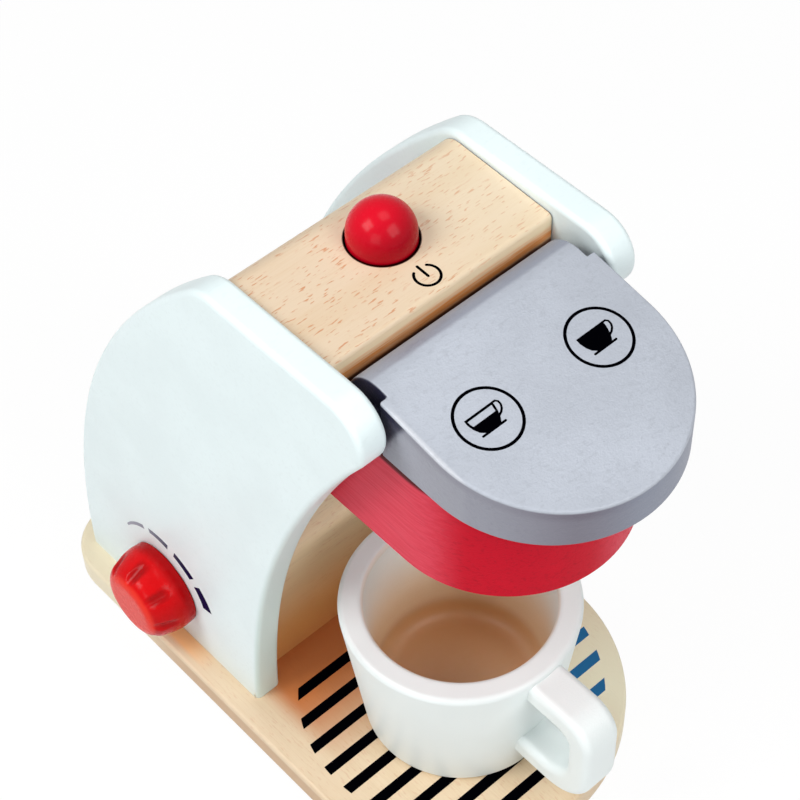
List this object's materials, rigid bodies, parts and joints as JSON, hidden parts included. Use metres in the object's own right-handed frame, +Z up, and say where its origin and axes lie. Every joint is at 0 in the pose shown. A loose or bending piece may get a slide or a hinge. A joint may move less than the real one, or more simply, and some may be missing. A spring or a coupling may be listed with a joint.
{
  "type": "toy coffee maker",
  "caption": "Wooden toy coffee maker: round-nosed base, crescent side panels, brew head with hinged wedge lid, sprung push button, turning fluted knob and loose handled cup.",
  "frame": {"origin": "middle of the base board's underside, which is the face that the toy stands on", "axes": "+X to the toy's right seen from the front, away from the knob; +Y towards the back; +Z up"},
  "size_m": [0.114, 0.198, 0.1981],
  "materials": {
    "clear_beech": "clear satin lacquer on beech",
    "white_paint": "satin white paint on beech plywood",
    "red_stain": "translucent red stain with satin lacquer",
    "grey_paint": "satin blue-grey paint",
    "red_gloss": "gloss red lacquer",
    "cup_paint": "satin white paint, tinted inside by the wood",
    "birch_dowel": "bare turned birch",
    "dark_felt": "pressed felt",
    "spring_steel": "drawn wire",
    "screw_steel": "zinc plated"
  },
  "bodies": {
    "frame": {"base_board": "clear_beech", "side_panel_left": "white_paint", "side_panel_right": "white_paint", "top_block": "clear_beech", "rear_block": "clear_beech", "brew_head": "red_stain", "hinge_rod": "birch_dowel", "button_spring": "spring_steel", "knob_washer": "dark_felt", "block_dowels": "birch_dowel", "head_dowels": "birch_dowel", "rear_dowels": "birch_dowel", "base_screws": "screw_steel"},
    "lid": {"lid": "grey_paint"},
    "button": {"button": "red_gloss"},
    "knob": {"knob": "red_gloss", "knob_axle": "birch_dowel", "knob_collar": "birch_dowel"},
    "cup": {"cup_body": "cup_paint", "cup_handle": "cup_paint", "handle_pegs": "birch_dowel"}
  },
  "joints": [
    {"name": "lid_hinge", "type": "hinge", "parent": "frame", "child": "lid", "pos_m": [0, -0.0485, 0.1765], "axis": [-1, 0, 0], "range_deg": [0, 100]},
    {"name": "button_press", "type": "slide", "parent": "frame", "child": "button", "axis": [0, 0, -1], "range_m": [0, 0.005], "stiffness_N_per_m": 250, "springref_m": -0.003, "deforming": ["button_spring"]},
    {"name": "knob_turn", "type": "hinge", "parent": "frame", "child": "knob", "pos_m": [-0.046, 0.04, 0.0296], "axis": [-1, 0, 0], "continuous": true},
    {"name": "cup_lift", "type": "slide", "parent": "frame", "child": "cup", "axis": [0, 0, 1], "range_m": [0, 0.055]}
  ]
}
